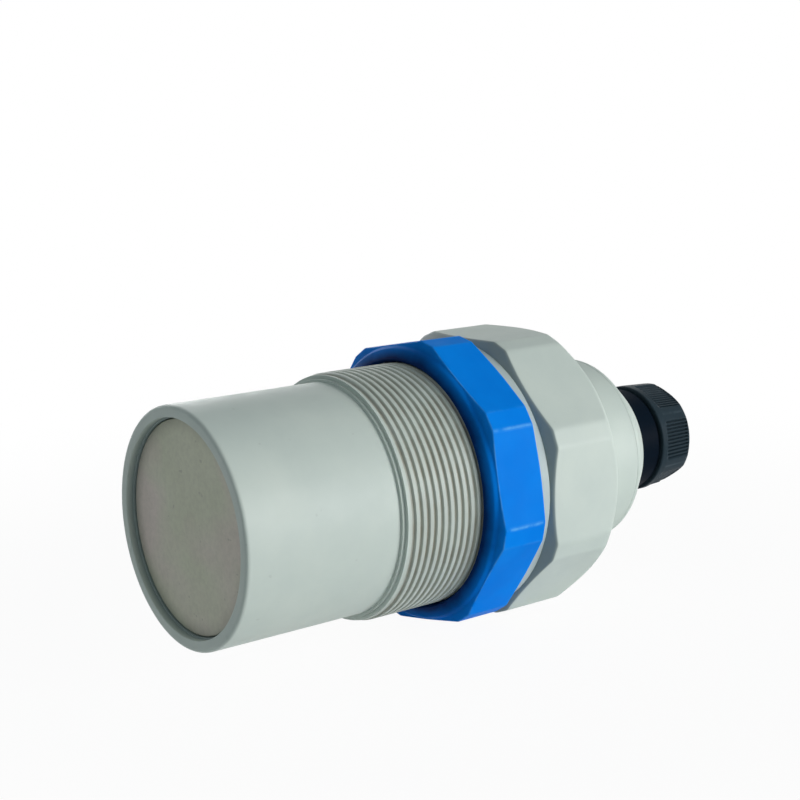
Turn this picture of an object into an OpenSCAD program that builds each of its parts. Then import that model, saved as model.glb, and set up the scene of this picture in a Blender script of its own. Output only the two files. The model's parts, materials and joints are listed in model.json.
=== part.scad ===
// Ultrasonic level sensor: a threaded plastic housing with an octagonal head, a lock nut and a
// sealing washer on its thread, a rear cap with a cable gland, and the transducer and board inside.
// The axis of the sensor lies along X, with the sensing face towards -X and the gland towards +X.
// The origin is on that axis in the plane of the head's sealing face, and a flat of the head faces down.

/* [Housing] */
// Outside diameter of the plain barrel
barrel_od = 56; // [54:0.5:57]
// Length of the plain barrel, from the front rim to the thread
barrel_len = 40.5; // [36:0.5:60]
// Wall of the barrel
barrel_wall = 4; // [3.5:0.25:5]
// Wall of the front rim, round the sensing face
rim_wall = 2.8; // [2:0.2:3.2]
// Bevel on the outer edge of the front rim
rim_bevel = 0.5; // [0.2:0.1:1]
// Depth of the sensing face behind the rim
face_recess = 2.2; // [0.6:0.2:3]
// Major diameter of the mounting thread
thread_d = 60; // [59:0.5:62]
// Pitch of the mounting thread
thread_pitch = 2; // [1.5:0.5:3]
// Share of the thread's pitch that its flat crest takes up
thread_crest_share = 0.45; // [0.15:0.05:0.5]
// Share of the thread's pitch that its flat root takes up
thread_root_share = 0.2; // [0.15:0.05:0.25]
// Length from the start of the thread to the head
thread_len = 40; // [36:0.5:60]
// Plain land between the last turn of the thread and the head
thread_land = 2; // [1:0.5:4]
// Width of the octagonal head across its flats
head_af = 69.3; // [68:0.1:80]
// Width of the narrow flats that take off the corners of the head
head_corner_w = 4.6; // [2:0.1:8]
// Length of the octagonal head
head_len = 22; // [20:0.5:35]
// How far the round sealing face lies inside the flats of the head
head_seat_inset = 1; // [0.4:0.1:2]
// Slope of the bevel behind the sealing face
head_front_bevel = 30; // [15:1:40]
// How far the round rear face lies inside the flats of the head
head_rear_inset = 0.3; // [0.2:0.1:2]
// Slope of the bevel at the rear of the head
head_rear_bevel = 48; // [20:1:55]
// Diameter of the bore in the head that takes the rear cap
head_bore_d = 42; // [40:0.5:44]

/* [Lock nut and washer] */
// Width of the lock nut across its flats
nut_af = 68.6; // [66:0.1:76]
// Width of the narrow flats that take off the corners of the nut
nut_corner_w = 4.7; // [2:0.1:8]
// Width of the lock nut along the thread
nut_len = 15.4; // [12:0.1:18]
// Angle at which the lock nut has stopped on the thread
nut_turn = -11; // [-22:1:22]
// Height of the round collar on the front of the nut
nut_collar_len = 2; // [1:0.1:3]
// How far the collar's rim lies inside the flats of the nut
nut_collar_inset = 0.8; // [0.4:0.1:1.5]
// Slope of the bevels on the corners of the nut
nut_bevel = 14; // [5:1:30]
// Radial clearance of the nut and the washer over the thread
nut_clearance = 0.25; // [0.2:0.05:0.4]
// Diameter of the sealing washer
washer_d = 67.8; // [65:0.2:70]
// Thickness of the sealing washer
washer_t = 2.8; // [1:0.1:4]

/* [Rear cap] */
// Diameter of the rear cap
cap_od = 48.4; // [46:0.2:56]
// Length of the straight part of the cap behind the head
cap_len = 18.5; // [14:0.5:30]
// Length of the tapered end of the cap
cap_taper_len = 7; // [5:0.5:10]
// Diameter of the end face of the cap
cap_end_d = 37; // [34:0.5:42]
// Thickness of the end wall of the cap
cap_floor = 6; // [4:0.5:7]
// Wall of the cap's spigot
spigot_wall = 3.4; // [3:0.2:4]
// Length of the spigot that goes into the head
spigot_len = 14; // [12:0.5:16]
// Radial clearance of the spigot in the head
spigot_gap = 0.1; // [0.05:0.05:0.2]
// Section of the o-ring on the spigot
cap_oring_t = 1.6; // [1.4:0.1:2]

/* [Cable gland] */
// Diameter of the gland's mounting stem
stem_d = 20; // [18:0.5:22]
// Diameter of the gland's collar
collar_d = 27.4; // [26.5:0.2:30]
// Length of the gland's collar
collar_len = 11.5; // [8:0.5:14]
// Diameter of the neck that carries the gland nut
neck_d = 22.8; // [22:0.2:24]
// Length of the neck
neck_len = 7; // [6:0.5:10]
// Pitch of the thread ridges on the neck and the stem
ridge_pitch = 1.5; // [1:0.25:2]
// Depth of the grooves between those ridges
ridge_depth = 0.6; // [0.3:0.1:0.8]
// Length of the clamping fingers
finger_len = 5.5; // [4:0.5:7]
// Number of clamping fingers
finger_count = 8; // [6:1:10]
// Thickness of the clamping fingers
finger_t = 2; // [1.6:0.1:2.2]
// How far the tips of the clamping fingers slope in
finger_slope_in = 0.9; // [0.5:0.1:1.2]
// Bore of the gland behind its seal
gland_bore_d = 13; // [11:0.5:14]
// Diameter of the cable that the seal takes
cable_d = 8; // [6:0.5:9]
// Diameter of the gland nut over its round rim
gland_nut_d = 28.8; // [28:0.2:30]
// Width of the gland nut across its ribbed flats
gland_nut_af = 26.8; // [26.2:0.1:27.4]
// Slope of the sides of the gland nut towards its domed end
gland_nut_taper = 3; // [1:0.5:4]
// Angle by which the gland nut's flats are turned about the axis
gland_flat_turn = -5; // [-30:1:30]
// Length of the gland nut's plain rim
gland_rim_len = 2; // [1.5:0.5:3]
// Height that the gland nut's dome would have above its seat if it were closed
dome_h = 3.2; // [2.5:0.1:4]
// How far the centre of the dome lies before the gland nut
dome_back = 2; // [1:0.5:4]
// Room between the cable and the opening of the gland nut
exit_gap = 2; // [1:0.25:2.5]
// Number of grooves on each flat of the gland nut
groove_count = 11; // [5:2:11]
// Distance between grooves
groove_pitch = 1; // [0.9:0.05:1.1]
// Width of each groove
groove_w = 0.5; // [0.4:0.05:0.6]
// Depth of each groove
groove_depth = 0.5; // [0.3:0.1:0.7]
// Depth of the shallow field that the grooves lie in
rib_field_depth = 0.2; // [0.1:0.05:0.3]
// Radial clearance of the gland nut, the seal and the stem
gland_gap = 0.25; // [0.2:0.05:0.3]
// Thickness of the lock nut inside the cap
gland_locknut_t = 5; // [4:0.5:5.5]
// Width of the lock nut inside the cap, across its flats
gland_locknut_af = 26; // [25:0.5:28]
// Section of the o-ring under the collar
gland_oring_t = 1.3; // [1:0.1:1.4]

/* [Transducer] */
// Thickness of the disc that forms the sensing face
face_disc_t = 5.5; // [4:0.5:7]
// Wall of the decoupling cup, between the piezo disc and the housing
cup_wall = 5; // [4.5:0.25:6]
// Thickness of the piezo disc
piezo_t = 5; // [3:0.5:6]
// Thickness of the damping pad behind the piezo disc
pad_t = 5; // [3:0.5:7]
// Thickness of the floor of the decoupling cup
cup_floor = 3; // [2:0.5:4]
// Glue gap round the pieces of the transducer
glue_gap = 0.1; // [0.05:0.05:0.15]
// Diameter of the temperature probe
probe_d = 3; // [2:0.1:3.2]
// Length of the temperature probe
probe_len = 7; // [5:0.5:8]
// Angle of the temperature probe about the axis, from straight up
probe_angle = 34; // [28:1:40]
// Diameter of the transducer's leads
lead_d = 1.2; // [0.8:0.1:1.6]
// Diameter of the temperature probe's leads
probe_lead_d = 0.6; // [0.4:0.1:0.8]

/* [Circuit board] */
// Width of the board
board_w = 39; // [36:0.5:40]
// Length of the board
board_len = 54; // [52:0.5:56]
// Thickness of the board
board_t = 1.6; // [1:0.2:2]
// Clearance of the board in its rails
board_gap = 0.15; // [0.1:0.05:0.3]
// How far the rails reach in over the edge of the board
rail_grip = 1.6; // [1:0.2:2.5]
// Thickness of each rail
rail_t = 1.6; // [1.2:0.2:2.5]
// Clear space between the larger pieces on the board
piece_gap = 2; // [1:0.25:2.5]
// Length of the pulse transformer
transformer_len = 16; // [12:0.5:17]
// Width of the pulse transformer
transformer_w = 13; // [10:0.5:16]
// Height of the pulse transformer
transformer_h = 13; // [10:0.5:15]
// Diameter of the storage capacitors
capacitor_d = 8; // [6:0.5:9]
// Height of the storage capacitors
capacitor_h = 11.5; // [8:0.5:13]
// Distance between the poles of the terminal block
pole_pitch = 5; // [4.5:0.25:5.5]
// Height of the terminal block
terminal_h = 10; // [8:0.5:11]
// Length of the terminal block along the board
terminal_len = 10; // [8:0.5:11]
// Length of the microcontroller
controller_len = 10; // [8:0.5:12]
// Width of the microcontroller
controller_w = 7; // [5:0.5:9]
// Length of each amplifier chip
amplifier_len = 5; // [4:0.25:6]
// Width of each amplifier chip
amplifier_w = 4; // [3:0.25:5]
// Distance between the two amplifier chips
amplifier_spacing = 14; // [12:0.5:16]
// Height of the chips
chip_h = 1.5; // [1:0.1:2]
// Length of each chip resistor
resistor_len = 2; // [1.6:0.1:2.4]
// Width of each chip resistor
resistor_w = 1.25; // [0.8:0.05:1.6]
// Height of each chip resistor
resistor_h = 0.6; // [0.4:0.05:0.8]
// Distance between the resistors of a row
resistor_pitch = 3; // [2.5:0.25:3.5]
// Distance of the rows of resistors from the edges of the board
resistor_inset = 8.5; // [7:0.25:9]

/* [Hidden] */
$fn = 96;
housing_colour = [0.76, 0.81, 0.77];
nut_colour = [0.04, 0.44, 0.85];
gland_colour = [0.10, 0.12, 0.13];
rubber_colour = [0.16, 0.16, 0.17];
chip_colour = [0.12, 0.12, 0.13];
metal_colour = [0.75, 0.75, 0.76];
// a small overlap that makes cuts pass right through a face
cut = 1;

rim_x = -thread_len - barrel_len;
bore_r = barrel_od / 2 - barrel_wall;
pocket_r = barrel_od / 2 - rim_wall;
thread_r = thread_d / 2;
thread_crest = thread_pitch * thread_crest_share;
thread_root = thread_pitch * thread_root_share;
thread_flank = (thread_pitch - thread_crest - thread_root) / 2;
thread_depth = thread_flank / tan(30);
thread_turns = floor((thread_len - thread_land) / thread_pitch);

face_x = rim_x + face_recess;
piezo_x = face_x + face_disc_t;
piezo_d = 2 * (bore_r - cup_wall);
pad_x = piezo_x + piezo_t;
cup_floor_x = pad_x + pad_t;
cup_end_x = cup_floor_x + cup_floor;

spigot_r = head_bore_d / 2 - spigot_gap;
spigot_x = head_len - spigot_len;
cavity_r = spigot_r - spigot_wall;
cap_taper_x = head_len + cap_len;
cap_end_x = cap_taper_x + cap_taper_len;
cap_floor_x = cap_end_x - cap_floor;
cap_groove_r = head_bore_d / 2 - cap_oring_t;
cap_oring_inset = 4;
cap_oring_x = head_len - cap_oring_inset;

stem_out = 1;
stem_x = cap_floor_x - gland_locknut_t - stem_out;
neck_x = cap_end_x + collar_len;
finger_x = neck_x + neck_len;
finger_end_x = finger_x + finger_len;
finger_r = neck_d / 2 - ridge_depth;
finger_tip_r = finger_r - finger_slope_in;
seal_r = finger_r - finger_t - gland_gap;
seal_seat_t = 1.5;
seal_x = neck_x + seal_seat_t;
seal_lip_t = 1.2;
seal_lip_r = finger_tip_r - gland_gap;
collar_gap = 0.4;
gland_nut_x = neck_x + collar_gap;
gland_nut_seat_x = finger_end_x + 2 * gland_gap + seal_lip_t;
gland_dome_x = gland_nut_x - dome_back;
gland_dome_r = gland_nut_seat_x + dome_h - gland_dome_x;
gland_exit_r = cable_d / 2 + exit_gap;
gland_oring_r = (stem_d + collar_d) / 4;

board_end_gap = 0.3;
board_x1 = spigot_x - board_end_gap;
board_x0 = board_x1 - board_len;
board_top = board_t / 2;
bore_step_back = 2;
bore_step_x = spigot_x - bore_step_back;
rail_end_gap = 1;
rail_x1 = bore_step_x - rail_end_gap;
stop_t = 2;

header_size = [7, 8, 6];
header_wall = 0.8;
plug_out = 3;
lead_spacing = 2.5;
lead_sides = [-lead_spacing / 2, lead_spacing / 2];
lead_z = board_top + header_size[2] / 2;
plug_x = board_x0 - plug_out;
probe_r = (bore_r + piezo_d / 2) / 2;
probe_y = probe_r * sin(probe_angle);
probe_z = probe_r * cos(probe_angle);
probe_lead_spacing = 1.2;
probe_pad_inset = 2;
probe_pad_x = board_x0 + probe_pad_inset;

terminal_inset = 1.5;
terminal_size = [terminal_len, 4 * pole_pitch, terminal_h];
terminal_x = board_x1 - terminal_inset - terminal_len;
pole_sides = [for (i = [-1.5:1.5]) i * pole_pitch];
screw_d = 2.8;
screw_h = 3;
screw_slot_w = 0.6;
screw_gap = 0.1;
screw_inset = 0.5;
transformer_size = [transformer_len, transformer_w, transformer_h];
transformer_x = board_x0 + header_size[0] + 2 * piece_gap;
transformer_foot = 1;
capacitor_x = transformer_x + transformer_len + piece_gap + capacitor_d / 2;
capacitor_y = (capacitor_d + piece_gap) / 2;
component_gap = 0.05;

leg_t = 0.2;
leg_out = 1;
chip_gap = 0.1;
controller_legs = 10;
controller_leg_pitch = 0.8;
amplifier_legs = 4;
amplifier_leg_pitch = 1.1;
resistor_rows = 5;
crystal_size = [10, 4.5, 3.5];
crystal_inset = 6;
regulator_size = [6, 6.6, 2.3];
regulator_tab = [3.2, 5.4, 1];

// Turns a shape drawn along Z so that it lies along X.
module along_axis() {
    rotate([0, 90, 0]) children();
}

// A solid of revolution about the sensor's axis, from points given as [radius, place along the axis].
module turned(points) {
    along_axis() rotate_extrude() polygon(points);
}

// A straight round bar or hole along the sensor's axis, at a height z and to the side y.
module axial_rod(d, x0, x1, y = 0, z = 0) {
    translate([x0, y, z]) along_axis() cylinder(d = d, h = x1 - x0);
}

// A ring of round section about the sensor's axis.
module oring(r, t, x) {
    along_axis() rotate_extrude() translate([r, x]) circle(d = t);
}

// The distance from the axis to the narrow flats across the corners of an octagon.
function corner_reach(af, corner_w) = af / 2 / cos(22.5) - corner_w / 2 * tan(22.5);

// The distance from the axis to the edges where the wide and the narrow flats of an octagon meet.
function corner_r(af, corner_w) = norm([corner_reach(af, corner_w), corner_w / 2]);

// An octagonal bar with a flat facing down and narrow flats across its corners. It is cut to length by
// two outlines, given as [radius, place along the axis], from the axis outwards at the front and back
// to the axis at the rear.
module octagon_bar(af, corner_w, front, rear) {
    x0 = min([for (p = front) p[1]]);
    x1 = max([for (p = rear) p[1]]);
    intersection() {
        translate([x0, 0, 0]) along_axis() rotate(22.5)
            cylinder(d = af / cos(22.5), h = x1 - x0, $fn = 8);
        translate([x0, 0, 0]) along_axis()
            cylinder(d = 2 * corner_reach(af, corner_w) / cos(22.5), h = x1 - x0, $fn = 8);
        turned(concat(front, rear));
    }
}

// One ridge for each pitch between two places on the axis, as [radius, place along the axis].
function ridge_points(r, depth, pitch, crest, root, x0, turns) = [for (i = [0:turns - 1])
    let (x = x0 + i * pitch + root / 2, flank = (pitch - crest - root) / 2)
    each [[r - depth, x], [r, x + flank], [r, x + flank + crest], [r - depth, x + 2 * flank + crest]]];

module housing() {
    seat_r = head_af / 2 - head_seat_inset;
    rear_r = head_af / 2 - head_rear_inset;
    outer_r = corner_r(head_af, head_corner_w) + cut;
    color(housing_colour) {
        difference() {
            union() {
                turned(concat([[0, rim_x], [barrel_od / 2 - rim_bevel, rim_x],
                    [barrel_od / 2, rim_x + rim_bevel], [barrel_od / 2, -thread_len],
                    [thread_r - thread_depth, -thread_len]],
                    ridge_points(thread_r, thread_depth, thread_pitch, thread_crest, thread_root,
                        -thread_len, thread_turns),
                    [[thread_r - thread_depth, head_len / 2], [0, head_len / 2]]));
                octagon_bar(head_af, head_corner_w,
                    [[0, 0], [seat_r, 0], [outer_r, (outer_r - seat_r) * tan(head_front_bevel)]],
                    [[outer_r, head_len - (outer_r - rear_r) * tan(head_rear_bevel)], [rear_r, head_len],
                        [0, head_len]]);
            }
            turned([[0, rim_x - cut], [pocket_r, rim_x - cut], [pocket_r, piezo_x], [bore_r, piezo_x],
                [bore_r, bore_step_x], [head_bore_d / 2, bore_step_x], [head_bore_d / 2, head_len + cut],
                [0, head_len + cut]]);
        }
        board_rails();
    }
}

// The two slotted rails in the bore that hold the board by its edges, closed by a stop at the front.
module board_rails() {
    root = 1;
    slot = board_t + 2 * board_gap;
    inner_y = board_w / 2 - rail_grip;
    intersection() {
        axial_rod(2 * (bore_r + root), board_x0 - stop_t, rail_x1);
        for (side = [-1, 1])
            difference() {
                translate([board_x0 - stop_t - cut, side > 0 ? inner_y : -bore_r - root - cut,
                    -slot / 2 - rail_t])
                    cube([rail_x1 - board_x0 + stop_t + 2 * cut, bore_r + root + cut - inner_y,
                        slot + 2 * rail_t]);
                translate([board_x0 - board_gap, side > 0 ? inner_y - cut : -board_w / 2 - board_gap,
                    -slot / 2])
                    cube([board_len + 2 * cut, rail_grip + board_gap + cut, slot]);
            }
    }
}

module sealing_washer() {
    color([0.80, 0.83, 0.80]) turned([[thread_r + nut_clearance, -washer_t], [washer_d / 2, -washer_t],
        [washer_d / 2, 0], [thread_r + nut_clearance, 0]]);
}

module lock_nut() {
    x1 = -washer_t;
    x0 = x1 - nut_len;
    flat_x = x0 + nut_collar_len;
    flat_r = nut_af / 2;
    base_r = flat_r - nut_collar_inset / 4;
    rim_r = flat_r - nut_collar_inset;
    bore = thread_r + nut_clearance;
    mouth = bore + thread_depth / 2;
    outer_r = corner_r(nut_af, nut_corner_w) + cut;
    color(nut_colour) rotate([nut_turn, 0, 0]) difference() {
        octagon_bar(nut_af, nut_corner_w,
            [[0, x0], [mouth, x0], [rim_r, x0 + nut_collar_len / 2], [base_r, flat_x],
                [outer_r, flat_x + (outer_r - base_r) * tan(nut_bevel)]],
            [[outer_r, x1 - (outer_r - base_r) * tan(nut_bevel)], [base_r, x1], [0, x1]]);
        axial_rod(2 * bore, x0 - cut, x1 + cut);
    }
}

module rear_cap() {
    color(housing_colour) turned([[cavity_r, spigot_x], [spigot_r, spigot_x],
        [spigot_r, cap_oring_x - cap_oring_t * 0.7], [cap_groove_r, cap_oring_x - cap_oring_t * 0.7],
        [cap_groove_r, cap_oring_x + cap_oring_t * 0.7], [spigot_r, cap_oring_x + cap_oring_t * 0.7],
        [spigot_r, head_len], [cap_od / 2, head_len], [cap_od / 2, cap_taper_x], [cap_end_d / 2, cap_end_x],
        [stem_d / 2 + gland_gap, cap_end_x], [stem_d / 2 + gland_gap, cap_floor_x], [cavity_r, cap_floor_x]]);
}

module rear_cap_oring() {
    color(rubber_colour) oring(cap_groove_r + cap_oring_t / 2, cap_oring_t - 0.04, cap_oring_x);
}

module gland_body() {
    groove_r0 = gland_oring_r - gland_oring_t * 0.65;
    groove_r1 = gland_oring_r + gland_oring_t * 0.65;
    slot_w = 1.2;
    edge = 0.6;
    finger_in_r = finger_r - finger_t;
    ridge_crest = ridge_pitch / 4;
    stem_turns = floor((cap_end_x - stem_x) / ridge_pitch);
    neck_turns = floor((neck_len - edge) / ridge_pitch);
    color(gland_colour) difference() {
        turned(concat([[gland_bore_d / 2, stem_x], [stem_d / 2 - ridge_depth, stem_x]],
            ridge_points(stem_d / 2, ridge_depth, ridge_pitch, ridge_crest, ridge_crest, stem_x, stem_turns),
            [[stem_d / 2 - ridge_depth, cap_end_x],
            [groove_r0, cap_end_x], [groove_r0, cap_end_x + gland_oring_t],
            [groove_r1, cap_end_x + gland_oring_t], [groove_r1, cap_end_x], [collar_d / 2 - edge, cap_end_x],
            [collar_d / 2, cap_end_x + edge], [collar_d / 2, neck_x - edge], [collar_d / 2 - edge, neck_x],
            [neck_d / 2 - ridge_depth, neck_x]],
            ridge_points(neck_d / 2, ridge_depth, ridge_pitch, ridge_crest, ridge_crest, neck_x + edge,
                neck_turns),
            [[finger_r, finger_x + finger_len / 3], [finger_tip_r, finger_end_x], [finger_in_r, finger_end_x],
            [finger_in_r, seal_x], [gland_bore_d / 2, seal_x]]));
        for (i = [0:finger_count - 1])
            rotate([i * 360 / finger_count, 0, 0]) translate([finger_x + edge, -slot_w / 2, 0])
                cube([finger_len + cut, slot_w, neck_d]);
    }
}

module gland_oring() {
    color(rubber_colour) oring(gland_oring_r, gland_oring_t - 0.06, cap_end_x + gland_oring_t / 2);
}

module gland_locknut() {
    color(gland_colour) difference() {
        translate([cap_floor_x - gland_locknut_t, 0, 0]) along_axis()
            cylinder(d = gland_locknut_af / cos(30), h = gland_locknut_t, $fn = 6);
        axial_rod(stem_d + 2 * gland_gap, cap_floor_x - gland_locknut_t - cut, cap_floor_x + cut);
    }
}

// The rubber insert that the fingers squeeze round the cable, with a lip over their tips.
module gland_seal() {
    lip_x = finger_end_x + gland_gap;
    color(rubber_colour) turned([[cable_d / 2, seal_x], [seal_r, seal_x], [seal_r, lip_x],
        [seal_lip_r, lip_x], [seal_lip_r, lip_x + seal_lip_t], [cable_d / 2, lip_x + seal_lip_t]]);
}

// The domed nut of the gland: a round rim, six tapered flats with grooves cut along them, rounded
// corners between the flats, and a conical seat inside that closes the fingers on the seal.
module gland_nut() {
    flat_x = gland_nut_x + gland_rim_len;
    flat_r = gland_nut_af / 2;
    groove_len = gland_nut_seat_x - flat_x - 1.5;
    bore = neck_d / 2 + gland_gap;
    tip = finger_tip_r + gland_gap;
    far_r = gland_nut_d / 2 - (gland_nut_seat_x - flat_x) * tan(gland_nut_taper);
    color(gland_colour) difference() {
        along_axis() rotate_extrude() intersection() {
            polygon([[0, gland_nut_x], [gland_nut_d / 2 - 0.4, gland_nut_x],
                [gland_nut_d / 2, gland_nut_x + 0.4], [gland_nut_d / 2, flat_x], [far_r, gland_nut_seat_x],
                [far_r, gland_nut_seat_x + collar_d], [0, gland_nut_seat_x + collar_d]]);
            translate([0, gland_dome_x]) circle(r = gland_dome_r);
        }
        turned([[0, gland_nut_x - cut], [bore, gland_nut_x - cut], [bore, finger_x + finger_len / 3],
            [tip, finger_end_x], [tip, gland_nut_seat_x], [gland_exit_r, gland_nut_seat_x],
            [gland_exit_r, gland_nut_x + gland_dome_r], [0, gland_nut_x + gland_dome_r]]);
        for (side = [0:5])
            rotate([90 + gland_flat_turn + side * 60, 0, 0]) translate([flat_x, 0, flat_r])
                rotate([0, gland_nut_taper, 0]) {
                translate([0, -flat_r, 0]) cube([collar_d, 2 * flat_r, collar_d]);
                translate([1, -groove_count * groove_pitch / 2, -rib_field_depth])
                    cube([groove_len, groove_count * groove_pitch, collar_d]);
                for (i = [-(groove_count - 1) / 2:(groove_count - 1) / 2])
                    translate([1, i * groove_pitch - groove_w / 2, -groove_depth])
                        cube([groove_len, groove_w, 2 * groove_depth]);
            }
    }
}

module face_disc() {
    color([0.52, 0.51, 0.47]) axial_rod(2 * (pocket_r - glue_gap), face_x, piezo_x);
}

module piezo_disc() {
    color(metal_colour) axial_rod(piezo_d, piezo_x, pad_x);
}

// Holes for the two transducer leads between two places on the axis.
module lead_holes(x0, x1) {
    for (y = lead_sides)
        axial_rod(lead_d + 2 * glue_gap, x0, x1, y, lead_z);
}

module damping_pad() {
    color([0.35, 0.30, 0.26]) difference() {
        axial_rod(piezo_d, pad_x, cup_floor_x);
        lead_holes(pad_x - cut, cup_floor_x + cut);
    }
}

// The soft cup that keeps the piezo disc's vibration from the housing.
module decoupling_cup() {
    color([0.72, 0.56, 0.38]) difference() {
        axial_rod(2 * (bore_r - glue_gap), piezo_x, cup_end_x);
        axial_rod(piezo_d + 2 * glue_gap, piezo_x - cut, cup_floor_x);
        lead_holes(cup_floor_x - cut, cup_end_x + cut);
        axial_rod(probe_d + 2 * glue_gap, piezo_x - cut, cup_end_x + cut, probe_y, probe_z);
    }
}

module temperature_probe() {
    color(metal_colour) axial_rod(probe_d, piezo_x, piezo_x + probe_len, probe_y, probe_z);
}

// Two bare wires that run back from the probe and bend down to the board.
module probe_leads() {
    color(metal_colour)
        for (side = [-1, 1]) {
            y = probe_y + side * probe_lead_spacing / 2;
            axial_rod(probe_lead_d, piezo_x + probe_len, probe_pad_x, y, probe_z);
            translate([probe_pad_x, y, board_top]) cylinder(d = probe_lead_d, h = probe_z - board_top);
            translate([probe_pad_x, y, probe_z]) sphere(d = probe_lead_d);
        }
}

module transducer_leads() {
    color([0.70, 0.12, 0.10])
        for (y = lead_sides)
            axial_rod(lead_d, pad_x, plug_x, y, lead_z);
}

// The block that a header and its plug share, smaller by a wall.
module header_block(x0, x1, wall) {
    translate([x0, -header_size[1] / 2 + wall, board_top + wall])
        cube([x1 - x0, header_size[1] - 2 * wall, header_size[2] - 2 * wall]);
}

module transducer_plug() {
    color([0.92, 0.91, 0.86])
        header_block(plug_x, board_x0 + header_size[0] - 2 * header_wall, header_wall + component_gap);
}

module transducer_header() {
    color([0.88, 0.87, 0.82]) difference() {
        header_block(board_x0, board_x0 + header_size[0], 0);
        header_block(board_x0 - cut, board_x0 + header_size[0] - header_wall, header_wall);
    }
}

module circuit_board() {
    color([0.10, 0.38, 0.20]) translate([board_x0, -board_w / 2, -board_t / 2])
        cube([board_len, board_w, board_t]);
}

// The core's window is closed round the winding, as on a pair of E cores.
module transformer_core() {
    size = transformer_size;
    leg = size[0] / 6;
    core_h = size[2] - transformer_foot;
    color([0.20, 0.20, 0.21])
        translate([transformer_x, -size[1] / 4, board_top + transformer_foot]) difference() {
        cube([size[0], size[1] / 2, core_h]);
        for (x = [leg, size[0] - leg - size[0] / 5])
            translate([x, -cut, leg]) cube([size[0] / 5, size[1] / 2 + 2 * cut, core_h - 2 * leg]);
    }
}

// The wound bobbin fills the core's two windows and stands out at both sides on its base.
module transformer_winding() {
    size = transformer_size;
    leg = size[0] / 6;
    gap = component_gap;
    color([0.78, 0.62, 0.25]) translate([transformer_x, 0, board_top]) {
        difference() {
            translate([leg + gap, -size[1] / 2, transformer_foot + leg + gap])
                cube([size[0] - 2 * leg - 2 * gap, size[1], size[2] - transformer_foot - 2 * leg - 2 * gap]);
            translate([leg + size[0] / 5 - gap, -size[1] / 4 - gap, 0])
                cube([size[0] - 2 * leg - 2 * size[0] / 5 + 2 * gap, size[1] / 2 + 2 * gap, size[2]]);
        }
        for (side = [-1, 1])
            translate([leg, side > 0 ? size[1] / 4 + gap : -size[1] / 2, 0])
                cube([size[0] - 2 * leg, size[1] / 4 - gap, 2 * transformer_foot + leg]);
    }
}

module storage_capacitors() {
    color(metal_colour)
        for (side = [-1, 1])
            translate([capacitor_x, side * capacitor_y, board_top])
                cylinder(d = capacitor_d, h = capacitor_h);
}

module terminal_block() {
    color([0.16, 0.42, 0.24]) difference() {
        translate([terminal_x, -terminal_size[1] / 2, board_top]) cube(terminal_size);
        for (y = pole_sides) {
            axial_rod(screw_d, terminal_x + terminal_len / 5, terminal_x + terminal_len + cut, y,
                board_top + terminal_h / 3);
            translate([terminal_x + terminal_len / 2, y, board_top + terminal_h - screw_h - screw_inset])
                cylinder(d = screw_d + 2 * screw_gap, h = screw_h + cut);
        }
    }
}

module terminal_screws() {
    slot_w = screw_slot_w;
    screw_z = board_top + terminal_h - screw_h - screw_inset;
    color(metal_colour)
        for (y = pole_sides)
            translate([terminal_x + terminal_len / 2, y, screw_z]) difference() {
                cylinder(d = screw_d, h = screw_h);
                translate([-slot_w / 2, -screw_d, screw_h - slot_w]) cube([slot_w, 2 * screw_d, screw_d]);
            }
}

// A moulded chip under the board, with flat legs on the board along two sides.
module chip(size, legs, leg_pitch) {
    leg_w = leg_pitch * 0.4;
    translate([-size[0] / 2, -size[1] / 2, -board_top - chip_gap - size[2]]) cube(size);
    for (side = [-1, 1], i = [0:legs - 1]) {
        x = (i - (legs - 1) / 2) * leg_pitch - leg_w / 2;
        translate([x, side > 0 ? size[1] / 2 : -size[1] / 2 - leg_out, -board_top - leg_t])
            cube([leg_w, leg_out, leg_t]);
    }
}

module microcontroller() {
    color(chip_colour) translate([transformer_x + transformer_len / 2, 0, 0])
        chip([controller_len, controller_w, chip_h], controller_legs, controller_leg_pitch);
}

module amplifier_chips() {
    color(chip_colour)
        for (side = [-1, 1])
            translate([capacitor_x, side * amplifier_spacing / 2, 0])
                chip([amplifier_len, amplifier_w, chip_h], amplifier_legs, amplifier_leg_pitch);
}

// A quartz crystal in its can, lying flat under the board.
module crystal() {
    can = crystal_size;
    color(metal_colour) translate([board_x0 + crystal_inset, 0, -board_top - can[2]])
        linear_extrude(can[2]) hull()
        for (side = [-1, 1])
            translate([0, side * (can[0] - can[1]) / 2]) circle(d = can[1], $fn = 24);
}

// The regulator lies under the board, below the terminal block that it feeds from.
module voltage_regulator() {
    tab = regulator_tab;
    body = regulator_size;
    color(chip_colour) translate([terminal_x, -body[1] / 2, -board_top]) {
        translate([0, 0, -body[2]]) cube(body);
        translate([body[0], (body[1] - tab[1]) / 2, -tab[2]]) cube(tab);
    }
}

module chip_resistors() {
    row_y = board_w / 2 - resistor_inset;
    color(chip_colour)
        for (side = [-1, 1], i = [0:resistor_rows - 1])
            translate([transformer_x + i * resistor_pitch, side * row_y - resistor_w / 2,
                -board_top - resistor_h])
                cube([resistor_len, resistor_w, resistor_h]);
}

housing();
sealing_washer();
lock_nut();
rear_cap();
rear_cap_oring();
gland_body();
gland_oring();
gland_locknut();
gland_seal();
gland_nut();
face_disc();
piezo_disc();
damping_pad();
decoupling_cup();
temperature_probe();
probe_leads();
transducer_leads();
transducer_plug();
transducer_header();
circuit_board();
transformer_core();
transformer_winding();
storage_capacitors();
terminal_block();
terminal_screws();
microcontroller();
amplifier_chips();
crystal();
voltage_regulator();
chip_resistors();
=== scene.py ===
"""Looks of an ultrasonic level sensor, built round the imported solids.

Sizes are in millimetres and angles in degrees, unless a comment says otherwise. The sensor's axis is X,
as in the solids. An angle of 0 about the axis points straight down, and 90 points to +Y.
"""

import json
import math

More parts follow.
